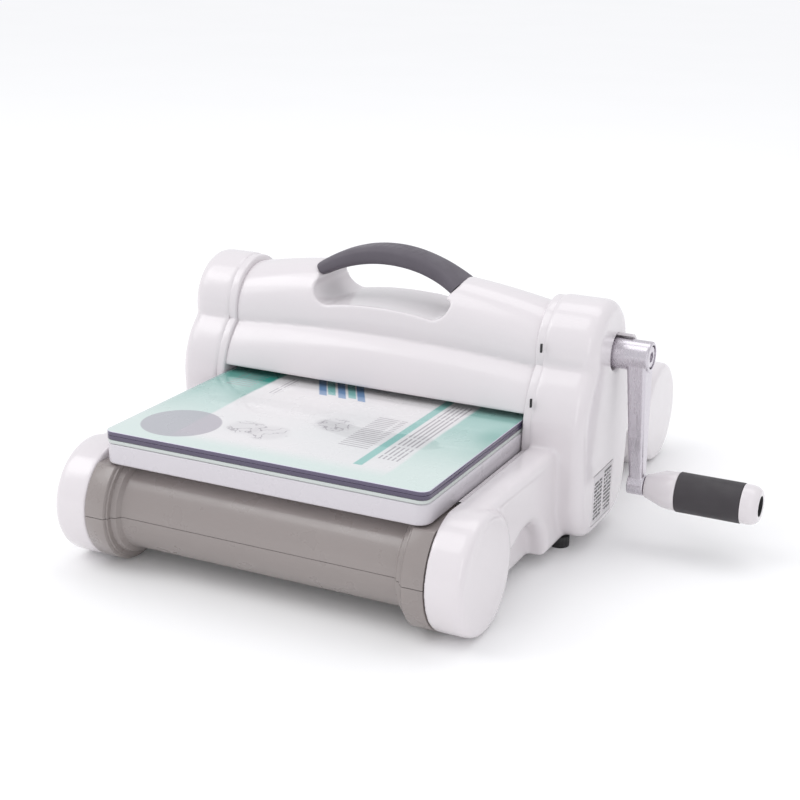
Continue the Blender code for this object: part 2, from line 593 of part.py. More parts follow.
def make_platform():
    front, back = PLATFORM_FRONT, PLATFORM_FRONT + PLATFORM_LENGTH
    layers = (
        ("platform_base", PLATFORM_HALF_X, PLATFORM_Z, "platform_plastic", 1.2, 0.0),
        ("adapter_plate", PAD_HALF_X, ADAPTER_Z, "white_plastic", 0.5, 0.4),
        ("lower_cutting_pad", PAD_HALF_X, LOWER_PAD_Z, "pad_plastic", 0.4, 0.5),
        ("printed_card", PAD_HALF_X - 3, CARD_Z, "printed_card", 0.0, 3.5),
        ("upper_cutting_pad", PAD_HALF_X, UPPER_PAD_Z, "pad_plastic", 0.4, 0.5),
    )
    for name, half, (low, high), finish, bevel, inset in layers:
        box(name, (-half, front + inset, low), (half, back - inset, high), finish, bevel)


make_cover()
make_casing(-1, LEFT_OUT)
make_casing(1, RIGHT_OUT)
make_side_walls(-1)
make_side_walls(1)
make_base()
make_roll(-ROLL_Y, "front")
make_roll(ROLL_Y, "rear")
make_rollers()
make_crank()
make_knob()
make_platform()
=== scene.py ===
"""Showing of the hand-cranked die-cutting machine, on the frame of its CAD.

Shapes are written in millimetres in the frame's axes (+X crank side, +Y back, +Z up) and
scaled to metres when a piece is made. Each piece rides on a CAD body and stands for CAD nodes.
"""

import math

import bmesh
import bpy
from mathutils import Matrix, Vector


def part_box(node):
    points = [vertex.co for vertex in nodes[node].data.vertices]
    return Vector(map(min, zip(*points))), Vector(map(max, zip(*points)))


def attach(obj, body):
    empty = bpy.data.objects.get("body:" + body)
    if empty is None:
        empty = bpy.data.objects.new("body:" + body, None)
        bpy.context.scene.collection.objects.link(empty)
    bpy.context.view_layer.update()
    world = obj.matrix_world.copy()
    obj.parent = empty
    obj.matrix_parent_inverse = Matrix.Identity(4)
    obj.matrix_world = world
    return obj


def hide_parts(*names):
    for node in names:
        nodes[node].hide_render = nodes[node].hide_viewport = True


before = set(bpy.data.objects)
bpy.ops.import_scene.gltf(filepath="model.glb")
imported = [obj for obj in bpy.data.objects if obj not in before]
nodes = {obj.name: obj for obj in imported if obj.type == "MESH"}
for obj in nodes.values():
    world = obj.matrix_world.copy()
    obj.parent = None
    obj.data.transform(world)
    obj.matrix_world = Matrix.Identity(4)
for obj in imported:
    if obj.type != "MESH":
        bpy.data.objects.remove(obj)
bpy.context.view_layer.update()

MM = 0.001

# Casings: two-lobed towers on a long foot that has a round cap at each end
SEAM_X = 120.8
LEFT_OUT = 153.0
RIGHT_OUT = 159.0
LOBE_LOW_Z, LOBE_LOW_R = 85.0, 53.5
LOBE_TOP_Z, LOBE_TOP_R = 131.8, 35.2
TOWER_BOTTOM = 4.0
TOWER_CORNER = 34.0
TOWER_HALF = 50.0
CAP_R = 39.2
CAP_OUT = 146.0
ARM_OUT = 142.0
SKIRT_Z = 3.0
SHELL = 2.2

# The two arches under each foot; the angles are where the outline leaves the cap and joins the arch
SCALLOP_Y, SCALLOP_Z, SCALLOP_R = 101.0, 2.0, 35.5
SCALLOP_X = 128.4
SCALLOP_LAP = 1.0
CAP_ARC_END = 353.0
SCALLOP_ARC_START = 124.0

# Rounding of the casing's edges, and the skin that fuses its shapes
TOWER_ROUND = 9.0
ARM_ROUND = 6.0
CAP_ROUND = 5.0
SEAM_ROUND = 2.2
FOOT_ROUND = 1.0
CASING_VOXEL, CASING_SMOOTHING = 1.1, 22

# Inner panels, whose rim shows as a bead between cover and casing
PANEL_IN, PANEL_OUT = 116.0, 124.0
PANEL_ROUND = 1.6
SHAFT_HOLE_R = 10.0

# Grey rolls
ROLL_Y, ROLL_Z = 175.7, 35.4
ROLL_R = 29.5
ROLL_WALL = 3.0
FLANGE_X = 100.0
FLANGE_STEP = 2.0
FLANGE_FLAT_Z = 66.9
HALVES_GAP = 0.35

# Top cover, its crown along X, and its finger hole
COVER_EDGE_Z = 94.9
COVER_X = 116.8
COVER_INSET = 2.6
COVER_VOXEL, COVER_SMOOTHING = 1.0, 8
ARCH_X, ARCH_TOP, ARCH_DROP, ARCH_SPAN = -5.0, 1.125, 0.18, 117.0
HOLE_LEFT, HOLE_RIGHT = -56.0, 49.5
HOLE_Z = 144.5
HOLE_CORNER = 12.0
HOLE_BOW = 3.5
HOLE_HALF_DEPTH = 60.0
ABOVE_GRIP = 200.0
SEAT_GAP = 0.4

# Carrying grip, between an upper and a lower arc
GRIP_MID_X = -6.5
GRIP_TOP_R, GRIP_TOP_Z = 95.0, 186.5
GRIP_UNDER_R, GRIP_UNDER_Z = 105.0, 172.8
GRIP_LEFT, GRIP_RIGHT = -60.0, 50.5
GRIP_HALF, GRIP_FLARE = 12.6, 5.0
GRIP_SQUARENESS = 3.2

# Crank
CRANK_Y, CRANK_Z = 10.0, 128.9459
KNOB_Z = 36.9459
HUB_R = 10.6
HUB_START = 150.0
HUB_FACE = 183.4
HUB_CLEARANCE = 1.6
ARM_TOP_X, ARM_TOP_HALF_Y = (168.3, 181.7), 9.5
ARM_LOW_X, ARM_LOW_HALF_Y = (174.2, 184.1), 4.6
ARM_EDGE = 1.2
KNUCKLE_X, KNUCKLE_R = (173.4, 185.2), 7.2
CRANK_VOXEL, CRANK_SMOOTHING = 0.5, 4
SCREW_R = 7.5
SHAFT_BORE_R = 3.9
HEX_SOCKET_R = 3.9
THROUGH_X = 200.0

# Knob: a cone sleeve with a rubber skin round its thick end, and a domed cap
KNOB_START = 185.9
SKIN_START = 208.6
SKIN_END = 253.4
KNOB_END = 265.4
KNOB_R_SMALL, KNOB_R_BIG = 8.2, 13.6
KNOB_WALL = 3.0
BORE_R = 3.8
RECESS_R = 7.2
DOME_R, DOME_DEPTH = 4.6, 8.0

# Platform stack
PLATFORM_HALF_X, PAD_HALF_X = 115.2, 114.7
PLATFORM_FRONT, PLATFORM_BACK = -199.6, 185.4
PLATFORM_Z = (68.3, 82.0)
ADAPTER_Z = (82.3, 84.6)
LOWER_PAD_Z = (84.9, 87.5)
UPPER_PAD_Z = (87.6, 90.4)
CARD_MARGIN = 2.6

# Stage
FLOOR_Z = -0.005
FLOOR_HALF = 14.0


# ---------------------------------------------------------------- node helpers

class Shader:
    """A material's node tree, with short calls for the maths of procedural textures."""

    def __init__(self, name):
        self.material = bpy.data.materials.new(name)
        self.material.use_nodes = True
        self.tree = self.material.node_tree
        self.surface = self.tree.nodes["Principled BSDF"]
        coordinates = self.tree.nodes.new("ShaderNodeTexCoord")
        self.place = coordinates.outputs["Object"]
        split = self.tree.nodes.new("ShaderNodeSeparateXYZ")
        self.tree.links.new(self.place, split.inputs[0])
        self.x, self.y, self.z = (self.math("MULTIPLY", s, 1 / MM) for s in split.outputs)

    def feed(self, socket, value):
        if isinstance(value, bpy.types.NodeSocket):
            self.tree.links.new(value, socket)
        elif isinstance(value, tuple) and len(value) == 3 and socket.type == "RGBA":
            socket.default_value = (*value, 1.0)
        else:
            socket.default_value = value

    def math(self, operation, first, second=0.0):
        node = self.tree.nodes.new("ShaderNodeMath")
        node.operation = operation
        self.feed(node.inputs[0], first)
        self.feed(node.inputs[1], second)
        return node.outputs[0]

    def ramp(self, value, low, high, start=0.0, end=1.0):
        """A smooth rise from start to end as the value goes from low to high."""
        node = self.tree.nodes.new("ShaderNodeMapRange")
        node.interpolation_type = "SMOOTHSTEP"
        for socket, given in zip(node.inputs, (value, low, high, start, end)):
            self.feed(socket, given)
        return node.outputs[0]

    def noise(self, scale, detail=4.0, stretch=(1, 1, 1)):
        stretcher = self.tree.nodes.new("ShaderNodeMapping")
        self.feed(stretcher.inputs["Vector"], self.place)
        stretcher.inputs["Scale"].default_value = stretch
        node = self.tree.nodes.new("ShaderNodeTexNoise")
        self.feed(node.inputs["Vector"], stretcher.outputs[0])
        node.inputs["Scale"].default_value = scale
        node.inputs["Detail"].default_value = detail
        return node.outputs["Fac"]

    def mix(self, share, first, second):
        node = self.tree.nodes.new("ShaderNodeMix")
        node.data_type = "RGBA"
        self.feed(node.inputs["Factor"], share)
        self.feed(node.inputs["A"], first)
        self.feed(node.inputs["B"], second)
        return node.outputs["Result"]

    def within(self, value, low, high, soft=0.3):
        """1 between low and high, and 0 outside, with soft edges."""
        above = self.ramp(value, low - soft, low + soft)
        below = self.ramp(value, high - soft, high + soft, 1, 0)
        return self.math("MULTIPLY", above, below)

    def patch(self, left, right, front, back, soft=0.4):
        """A rectangle in X and Y."""
        across = self.within(self.x, left, right, soft)
        along = self.within(self.y, front, back, soft)
        return self.math("MULTIPLY", across, along)

    def disc(self, x, y, radius, soft=0.6):
        """A round spot in X and Y."""
        across = self.math("POWER", self.math("SUBTRACT", self.x, x), 2.0)
        along = self.math("POWER", self.math("SUBTRACT", self.y, y), 2.0)
        distance = self.math("SQRT", self.math("ADD", across, along))
        return self.ramp(distance, radius - soft, radius + soft, 1, 0)

    def bump(self, height, depth_mm, strength=1.0):
        node = self.tree.nodes.new("ShaderNodeBump")
        node.inputs["Strength"].default_value = strength
        node.inputs["Distance"].default_value = depth_mm * MM
        self.feed(node.inputs["Height"], height)
        self.feed(self.surface.inputs["Normal"], node.outputs[0])

    def edges(self):
        """Nearly 1 on sharp outer edges of a finely meshed piece."""
        node = self.tree.nodes.new("ShaderNodeNewGeometry")
        return self.ramp(node.outputs["Pointiness"], 0.57, 0.68)

    def set(self, **values):
        """Feeds inputs of the surface by name, with _ for each space."""
        for name, value in values.items():
            title = name.replace("_", " ").title().replace("Ior", "IOR")
            self.feed(self.surface.inputs[title], value)


# ---------------------------------------------------------------- materials

def plastic(name, colour, wear_and_highlight_colour, roughness, grain=0.02, coat=0.0):
    """Moulded plastic: faint cloudiness, uneven gloss, a fine grain and slightly paler edges, partly wear and
    partly a painted highlight.
    """
    shader = Shader(name)
    cloud = shader.noise(14, 3)
    darker = tuple(c * 0.965 for c in colour)
    body = shader.mix(cloud, darker, colour)
    # paler patches on sharp edges: partly wear, partly a painted edge highlight
    wear_and_highlight = shader.math("MULTIPLY", shader.edges(), shader.ramp(shader.noise(160, 5), 0.45, 0.62))
    shader.set(base_color=shader.mix(wear_and_highlight, body, wear_and_highlight_colour))
    shader.set(roughness=shader.ramp(shader.noise(55, 5), 0.3, 0.7, roughness - 0.04, roughness + 0.05))
    shader.set(coat_weight=coat, coat_roughness=0.08)
    shader.bump(shader.noise(1400, 3), grain, 0.5)
    return shader.material


def grip_rubber(name, dark, light):
    """Dark soft-touch plastic with fine stipple, and generic ribs along the crown of the handle."""
    shader = Shader(name)
    colour = shader.mix(shader.noise(40, 4), dark, light)
    shader.set(base_color=colour, roughness=shader.ramp(shader.noise(90, 4), 0.3, 0.7, 0.44, 0.58))
    wave = shader.math("SINE", shader.math("MULTIPLY", shader.x, math.pi / 2.6))
    ribs = shader.math("MULTIPLY", shader.ramp(wave, -0.2, 0.6), shader.within(shader.x, -34, 20, 1.0))
    ribs = shader.math("MULTIPLY", ribs, shader.within(shader.y, -6.5, 6.5, 1.0))
    stipple = shader.math("MULTIPLY", shader.noise(2200, 2), 0.35)
    shader.bump(shader.math("ADD", ribs, stipple), 0.35, 0.6)
    return shader.material


def metal(name, light, dark, roughness, direction, brushing=0.02):
    """Brushed or satin metal with streaks along one direction and brighter edges, a painted highlight."""
    shader = Shader(name)
    streaks = shader.noise(900, 4, direction)
    colour = shader.mix(streaks, dark, light)
    # painted highlight: the colour is brightened on sharp edges
    edge = tuple(min(1.0, c * 1.2) for c in light)
    shader.set(base_color=shader.mix(shader.edges(), colour, edge), metallic=1.0)
    shader.set(roughness=shader.ramp(streaks, 0.3, 0.7, roughness - 0.06, roughness + 0.08))
    shader.bump(streaks, brushing, 0.4)
    return shader.material


def rubber():
    """Black rubber of the feet, matt and slightly uneven; the same black paints the shade in two slots."""
    shader = Shader("rubber_and_slot_shade")
    shader.set(base_color=shader.mix(shader.noise(120, 5), (0.012, 0.012, 0.013), (0.03, 0.03, 0.032)))
    shader.set(roughness=shader.ramp(shader.noise(200, 4), 0.3, 0.7, 0.6, 0.85))
    shader.bump(shader.noise(900, 3), 0.08, 0.5)
    return shader.material


def pad_edge():
    """Tinted clear plastic: purple at its cut edges, darker towards the bottom, with a painted highlight as a
    bright line along the upper edge.
    """
    shader = Shader("pad_edge")
    depth = shader.ramp(shader.z, LOWER_PAD_Z[0], UPPER_PAD_Z[1])
    colour = shader.mix(depth, (0.062, 0.048, 0.095), (0.088, 0.070, 0.132))
    # painted highlight: a bright line just under the upper pad's top edge
    painted_edge_highlight = shader.ramp(shader.z, UPPER_PAD_Z[1] - 0.40, UPPER_PAD_Z[1] - 0.15)
    shader.set(base_color=shader.mix(painted_edge_highlight, colour, (0.62, 0.60, 0.72)))
    shader.set(roughness=shader.ramp(shader.noise(70, 4), 0.3, 0.7, 0.12, 0.24))
    shader.set(coat_weight=0.6, coat_roughness=0.05)
    shader.bump(shader.noise(240, 3, (1, 1, 4)), 0.05, 0.4)
    return shader.material


def text_rows(shader, left, right, front, back, pitch, along_y=False):
    """Rows of thin broken lines, as small print looks from a distance."""
    across = shader.x if along_y else shader.y
    cycle = shader.math("FRACT", shader.math("DIVIDE", across, pitch))
    rows = shader.within(cycle, 0.3, 0.7, 0.08)
    stretch = (0.02, 1, 1) if along_y else (1, 0.02, 1)
    words = shader.ramp(shader.noise(300, 2, stretch), 0.36, 0.42)
    print_area = shader.patch(left, right, front, back)
    return shader.math("MULTIPLY", shader.math("MULTIPLY", rows, words), print_area)


def card_ground(shader):
    """Teal borders, paler towards the front, round a white panel with a teal stripe."""
    pale, teal, deep = (0.60, 0.70, 0.67), (0.30, 0.52, 0.48), (0.045, 0.30, 0.25)
    white, cool_white = (0.76, 0.735, 0.745), (0.70, 0.705, 0.71)
    rise = shader.ramp(shader.y, -175, -55)
    wash = shader.ramp(shader.noise(14, 2, (1, 0.5, 1)), 0.35, 0.65)
    border = shader.mix(rise, pale, shader.mix(wash, teal, deep))
    panel = shader.mix(shader.ramp(shader.noise(9, 2), 0.3, 0.7), white, cool_white)
    wavy_x = shader.math("ADD", shader.x, shader.math("MULTIPLY", shader.noise(18, 2), 5.0))
    sides = shader.within(wavy_x, -70, 82, 1.5)
    inside = shader.math("MULTIPLY", sides, shader.ramp(shader.y, -192, -172))
    stripe = shader.math("MULTIPLY", shader.patch(54, 60, -176, 60, 0.6), 0.85)
    return shader.mix(stripe, shader.mix(inside, border, panel), (0.16, 0.46, 0.42))


def card_flags(shader, art):
    """Five leaning bars in blue and green."""
    blue, green = (0.06, 0.20, 0.42), (0.12, 0.42, 0.40)
    lean = shader.math("ADD", shader.x, shader.math("MULTIPLY", shader.y, 0.55))
    for k, start in enumerate((-66, -59, -51, -43, -36)):
        front = -66 + 3 * (k % 2)
        bar = shader.within(lean, start, start + 6, 0.5)
        flag = shader.math("MULTIPLY", bar, shader.within(shader.y, front, -30, 0.8))
        art = shader.mix(shader.math("MULTIPLY", flag, 0.85), art, green if k % 2 else blue)
    return art


def card_sketches(shader, art, grey):
    """Three round patches of loose pencil strokes."""
    strokes = shader.math("ABSOLUTE", shader.math("SUBTRACT", shader.noise(70, 3), 0.5))
    strokes = shader.ramp(strokes, 0.006, 0.022, 1, 0)
    for x, y, radius in ((-38, -150, 12), (-20, -152, 13), (10, -118, 12)):
        share = shader.math("MULTIPLY", strokes, shader.disc(x, y, radius, 3.0))
        art = shader.mix(shader.math("MULTIPLY", share, 0.75), art, grey)
        art = shader.mix(shader.math("MULTIPLY", shader.disc(x, y, radius, 4.0), 0.16), art, grey)
    return art


def card_print():
    """Generic print seen under the clear upper pad, with simple shapes and bars for words."""
    shader = Shader("card_print")
    grey, lilac = (0.27, 0.25, 0.28), (0.30, 0.27, 0.33)
    art = card_sketches(shader, card_flags(shader, card_ground(shader)), grey)
    art = shader.mix(shader.math("MULTIPLY", shader.disc(-79, -163, 26.5), 0.72), art, lilac)
    for left, right, front, back, pitch, along_y, share in (
        (29, 50, -150, -88, 3.4, False, 0.65),
        (62, 77, -160, -44, 3.1, True, 0.8),
        (-100, -80, -76, -46, 4.0, False, 0.6),
        (-64, -56, -80, -44, 3.0, True, 0.6),
    ):
        rows = text_rows(shader, left, right, front, back, pitch, along_y)
        art = shader.mix(shader.math("MULTIPLY", rows, share), art, grey)
    shader.set(base_color=art)
    shader.set(roughness=shader.ramp(shader.noise(30, 4), 0.3, 0.7, 0.24, 0.32))
    shader.set(coat_weight=1.0, coat_roughness=0.03)
    shader.bump(shader.noise(20, 2), 0.01, 0.2)
    return shader.material


def label_print():
    """A sticker of the casing's colour with two columns of dark generic bars; it holds no words."""
    shader = Shader("label_print")
    base = shader.mix(shader.noise(50, 2), (0.68, 0.65, 0.67), (0.74, 0.71, 0.73))
    rows = shader.within(shader.math("FRACT", shader.math("DIVIDE", shader.z, 2.8)), 0.12, 0.78, 0.06)
    words = shader.ramp(shader.noise(520, 3, (0.02, 1, 0.8)), 0.40, 0.43)
    field = 0.0
    for front, back, top in ((-22, -6, 44), (-2, 13, 48)):
        depth = shader.within(shader.y, front, back, 0.3)
        column = shader.math("MULTIPLY", depth, shader.within(shader.z, 16, top, 0.3))
        field = shader.math("ADD", field, column)
    ink = shader.math("MULTIPLY", shader.math("MULTIPLY", rows, words), field)
    shader.set(base_color=shader.mix(ink, base, (0.05, 0.045, 0.05)))
    shader.set(roughness=shader.ramp(shader.noise(60, 3), 0.3, 0.7, 0.35, 0.45))
    shader.bump(shader.noise(800, 2), 0.01, 0.3)
    return shader.material


def floor_paint():
    """Matt white that glows a little, so that the floor stays near white."""
    shader = Shader("floor_paint")
    shader.set(base_color=shader.mix(shader.noise(3, 2), (0.93, 0.93, 0.93), (0.95, 0.95, 0.95)))
    shader.set(roughness=0.9, specular_ior_level=0.0, emission_color=(1.0, 1.0, 1.0), emission_strength=0.03)
    return shader.material


# the second colour of each plastic is its paler edge colour, partly wear and partly a painted highlight
WHITE = plastic("white_abs", (0.745, 0.705, 0.725), (0.80, 0.77, 0.785), 0.20, 0.012, coat=0.4)
GREY = plastic("grey_abs", (0.290, 0.255, 0.245), (0.40, 0.37, 0.35), 0.30, 0.02, coat=0.3)
PLATFORM = plastic("platform_abs", (0.64, 0.61, 0.645), (0.76, 0.74, 0.76), 0.28, 0.015, coat=0.2)
PALE = plastic("adapter_abs", (0.58, 0.62, 0.60), (0.70, 0.73, 0.72), 0.30, 0.015)
NYLON = plastic("gear_nylon", (0.66, 0.63, 0.56), (0.74, 0.72, 0.66), 0.42, 0.02)
GRIP = grip_rubber("grip_rubber", (0.085, 0.074, 0.092), (0.120, 0.106, 0.128))
SKIN = grip_rubber("knob_rubber", (0.030, 0.026, 0.030), (0.048, 0.042, 0.048))
SATIN = metal("satin_aluminium", (0.665, 0.63, 0.675), (0.585, 0.555, 0.60), 0.27, (1, 1, 0.08), 0.008)
STEEL = metal("turned_steel", (0.56, 0.57, 0.59), (0.40, 0.41, 0.43), 0.3, (0.05, 1, 1))
BRONZE = metal("bearing_bronze", (0.62, 0.42, 0.20), (0.46, 0.30, 0.13), 0.34, (0.05, 1, 1))
RUBBER_AND_SHADE = rubber()
PAD = pad_edge()
PRINT = card_print()
LABEL = label_print()


# ---------------------------------------------------------------- shape helpers

def arc(centre, radius, start_deg, end_deg, steps):
    """Points along a circle's arc, both ends included."""
    for k in range(steps + 1):
        angle = math.radians(start_deg + (end_deg - start_deg) * k / steps)
        yield centre[0] + radius * math.cos(angle), centre[1] + radius * math.sin(angle)


def loft(bm, rings):
    """A closed skin over rings of equal length, given as lists of (x, y, z) in millimetres."""
    made = [[bm.verts.new(Vector(point) * MM) for point in ring] for ring in rings]
    for first, second in zip(made, made[1:]):
        for k in range(len(first)):
            following = (k + 1) % len(first)
            bm.faces.new((first[k], first[following], second[following], second[k]))
    bm.faces.new(made[0])
    bm.faces.new(made[-1])


def rounded_edge(face_x, inward, radius, steps):
    """(x, inset) pairs of a quarter round, from the flat face at face_x to the full outline."""
    for k in range(steps + 1):
        turn = math.pi / 2 * k / steps
        yield face_x + inward * radius * (1 - math.cos(turn)), radius * (1 - math.sin(turn))


def rounded_rings(outline, start, end, rounding, steps=8, start_rounding=0.0):
    """Rings of outline(inset) in (y, z) between two X, the last edge, and maybe the first, rounded."""
    side = 1 if end > start else -1
    stations = list(rounded_edge(start, side, start_rounding, 4)) if start_rounding else [(start, 0.0)]
    stations += reversed(list(rounded_edge(end, -side, rounding, steps)))
    return [[(x, y, z) for y, z in outline(inset)] for x, inset in stations]


def new_object(bm, name):
    """Turns the working mesh into a linked object with its normals outwards."""
    bmesh.ops.recalc_face_normals(bm, faces=bm.faces)
    mesh = bpy.data.meshes.new(name)
    bm.to_mesh(mesh)
    bm.free()
    obj = bpy.data.objects.new(name, mesh)
    bpy.context.scene.collection.objects.link(obj)
    return obj


def baked(obj):
    """Replaces the object's mesh by its evaluated one and clears its modifiers."""
    bpy.context.view_layer.update()
    evaluated = obj.evaluated_get(bpy.context.evaluated_depsgraph_get())
    mesh = bpy.data.meshes.new_from_object(evaluated)
    obj.modifiers.clear()
    obj.data = mesh
    return obj


def subtract(obj, cutter):
    """Cuts one object out of another and removes the cutter."""
    step = obj.modifiers.new("cut", "BOOLEAN")
    step.object = cutter
    step.solver = "EXACT"
    baked(obj)
    bpy.data.objects.remove(cutter)


def soften(obj, voxel, rounds):
    """Fuses overlapping shapes into one skin and smooths it, which fillets the joins between them."""
    skin = obj.modifiers.new("skin", "REMESH")
    skin.mode = "VOXEL"
    skin.voxel_size = voxel * MM
    smooth = obj.modifiers.new("smooth", "SMOOTH")
    smooth.factor = 0.5
    smooth.iterations = rounds
    return baked(obj)


def open_faces(obj, chosen):
    """Deletes the faces whose centre and normal, in millimetres, satisfy the test."""
    bm = bmesh.new()
    bm.from_mesh(obj.data)
    gone = [f for f in bm.faces if chosen(f.calc_center_median() / MM, f.normal)]
    bmesh.ops.delete(bm, geom=gone, context="FACES")
    bm.to_mesh(obj.data)
    bm.free()


def thicken(obj, thickness):
    """Gives an open skin its wall, inwards."""
    shell = obj.modifiers.new("shell", "SOLIDIFY")
    shell.thickness = thickness * MM
    shell.offset = -1.0
    baked(obj)


def finish_piece(obj, material, body, stands_for, smooth_angle=40):
    """Shading, material, the body it rides on and the CAD nodes it stands for."""
    obj.data.materials.clear()
    for each in material if isinstance(material, tuple) else (material,):
        obj.data.materials.append(each)
    obj.data.shade_smooth()
    obj.data.set_sharp_from_angle(angle=math.radians(smooth_angle))
    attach(obj, body)
    if stands_for:
        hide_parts(*stands_for)


def turned(name, profile, y, z, start_deg=0.0, end_deg=360.0, steps=96, flat_top=None):
    """A profile of (x, radius) points swept about the line along X at (y, z), clipped at a height."""
    bm = bmesh.new()
    whole = end_deg - start_deg == 360.0
    rows = []
    for x, radius in profile:
        row = [(x, y + b, z + c) for b, c in arc((0, 0), radius, start_deg, end_deg, steps)]
        row = row[:-1] if whole else row
        if flat_top:
            row = [(px, py, min(pz, flat_top)) for px, py, pz in row]
        rows.append([bm.verts.new(Vector(point) * MM) for point in row])
    for first, second in zip(rows, rows[1:] + rows[:1]):
        for k in range(len(first) if whole else len(first) - 1):
            following = (k + 1) % len(first)
            bm.faces.new((first[k], first[following], second[following], second[k]))
    if not whole:
        bm.faces.new([row[0] for row in rows])
        bm.faces.new([row[-1] for row in reversed(rows)])
    bmesh.ops.remove_doubles(bm, verts=bm.verts, dist=1e-6)
    return new_object(bm, name)


def cylinder(name, start_x, end_x, radius, y, z, sides=64):
    """A cylinder along X, or with few sides a prism."""
    bm = bmesh.new()
    ring = list(arc((y, z), radius, 0, 360, sides))[:-1]
    loft(bm, [[(x, a, b) for a, b in ring] for x in (start_x, end_x)])
    return new_object(bm, name)


def rounded_box(name, low, high, corner, edge, segments=3):
    """A box with rounded upright corners and softened edges."""
    bm = bmesh.new()
    bmesh.ops.create_cube(bm, size=MM)
    size = [b - a for a, b in zip(low, high)]
    middle = [(a + b) / 2 * MM for a, b in zip(low, high)]
    bmesh.ops.transform(bm, verts=bm.verts, matrix=Matrix.Translation(middle) @ Matrix.Diagonal((*size, 1)))
    uprights = [e for e in bm.edges if e.verts[0].co.z != e.verts[1].co.z]
    bmesh.ops.bevel(bm, geom=uprights, offset=corner * MM, segments=5, profile=0.5, affect="EDGES")
    flat = [e for e in bm.edges if len(e.link_faces) == 2 and e.calc_face_angle() > 1.2]
    bmesh.ops.bevel(bm, geom=flat, offset=edge * MM, segments=segments, profile=0.5, affect="EDGES")
    return new_object(bm, name)


# ---------------------------------------------------------------- outlines

def waist(inset):
    """(half depth, height) where the two lobes of the tower's outline meet."""
    low, top = LOBE_LOW_R - inset, LOBE_TOP_R - inset
    apart = LOBE_TOP_Z - LOBE_LOW_Z
    up = (apart**2 + low**2 - top**2) / (2 * apart)
    return math.sqrt(low**2 - up**2), LOBE_LOW_Z + up


def lobes(inset, lowest=None):
    """The two-lobed outline from its lowest rear point, over the top, to its lowest front point."""
    half, height = waist(inset)
    low, top = LOBE_LOW_R - inset, LOBE_TOP_R - inset
    low_start = 0.0 if lowest is None else math.degrees(math.asin((lowest - LOBE_LOW_Z) / low))
    low_end = math.degrees(math.atan2(height - LOBE_LOW_Z, half))
    top_start = math.degrees(math.atan2(height - LOBE_TOP_Z, half))
    rear = list(arc((0, LOBE_LOW_Z), low, low_start, low_end, 12))[:-1]
    over = list(arc((0, LOBE_TOP_Z), top, top_start, 180 - top_start, 48))
    front = list(arc((0, LOBE_LOW_Z), low, 180 - low_end, 180 - low_start, 12))[1:]
    return rear + over + front


def tower_outline(inset):
    """The whole tower outline, with its rounded foot."""
    radius = TOWER_CORNER - inset
    inner, base = TOWER_HALF - TOWER_CORNER, TOWER_BOTTOM + TOWER_CORNER
    front = list(arc((-inner, base), radius, 180, 270, 14))
    rear = list(arc((inner, base), radius, -90, 0, 14))
    return lobes(inset) + front + rear


def foot_outline(scalloped):
    """The long foot as a function of inset, with or without the two arches cut into its skirt."""
    def outline(inset):
        radius, floor = CAP_R - inset, SKIRT_Z + inset
        if not scalloped:
            front = list(arc((-ROLL_Y, ROLL_Z), radius, 90, 270, 40))
            front += [(-ROLL_Y + 22, ROLL_Z - radius), (-ROLL_Y + 27, floor)]
            return front + [(-y, z) for y, z in reversed(front)]
        cut = SCALLOP_R + inset
        last = math.degrees(math.asin((floor - SCALLOP_Z) / cut))
        front = list(arc((-ROLL_Y, ROLL_Z), radius, 90, CAP_ARC_END, 50))
        front += list(arc((-SCALLOP_Y, SCALLOP_Z), cut, SCALLOP_ARC_START, last, 30))
        return front + [(-y, z) for y, z in reversed(front)]
    return outline


def circle_outline(y, z, radius, sides):
    """A circle as a function of inset."""
    return lambda inset: list(arc((y, z), radius - inset, 0, 360, sides))[:-1]


# ---------------------------------------------------------------- housing

def make_casing(side, outer_x):
    """One white casing: a rounded tower fused with the long foot and its two round caps."""
    name = "right" if side > 0 else "left"
    seam = side * SEAM_X
    tower_bm = bmesh.new()
    loft(tower_bm, rounded_rings(tower_outline, seam, side * outer_x, TOWER_ROUND, start_rounding=SEAM_ROUND))
    shell = new_object(tower_bm, f"{name}_casing_shell")
    if side > 0:
        subtract(shell, cylinder("hub_recess", HUB_START - 2, 175, HUB_R + HUB_CLEARANCE, CRANK_Y, CRANK_Z))
    bm = bmesh.new()
    bm.from_mesh(shell.data)
    plain_end, arched_start = side * (SCALLOP_X + SCALLOP_LAP), side * (SCALLOP_X - SCALLOP_LAP)
    loft(bm, rounded_rings(foot_outline(False), seam, plain_end, FOOT_ROUND, start_rounding=SEAM_ROUND))
    loft(bm, rounded_rings(foot_outline(True), arched_start, side * ARM_OUT, ARM_ROUND))
    for y in (-ROLL_Y, ROLL_Y):
        loft(bm, rounded_rings(circle_outline(y, ROLL_Z, CAP_R, 80), seam, side * CAP_OUT, CAP_ROUND))
    bmesh.ops.recalc_face_normals(bm, faces=bm.faces)
    bm.to_mesh(shell.data)
    bm.free()
    soften(shell, CASING_VOXEL, CASING_SMOOTHING)

    def hidden(centre, normal):
        between_caps = abs(centre.y) < ROLL_Y - CAP_R - 2
        at_seam = between_caps and abs(centre.x - seam) < 1.0 and abs(normal.x) > 0.7
        off_hub = math.hypot(centre.y - CRANK_Y, centre.z - CRANK_Z)
        in_recess = side > 0 and off_hub < HUB_R + 1 and centre.x < outer_x - 8
        return at_seam or (in_recess and abs(normal.x) > 0.6)

    open_faces(shell, hidden)
    thicken(shell, SHELL)
    finish_piece(shell, WHITE, "housing", [f"{name}_casing"], 80)


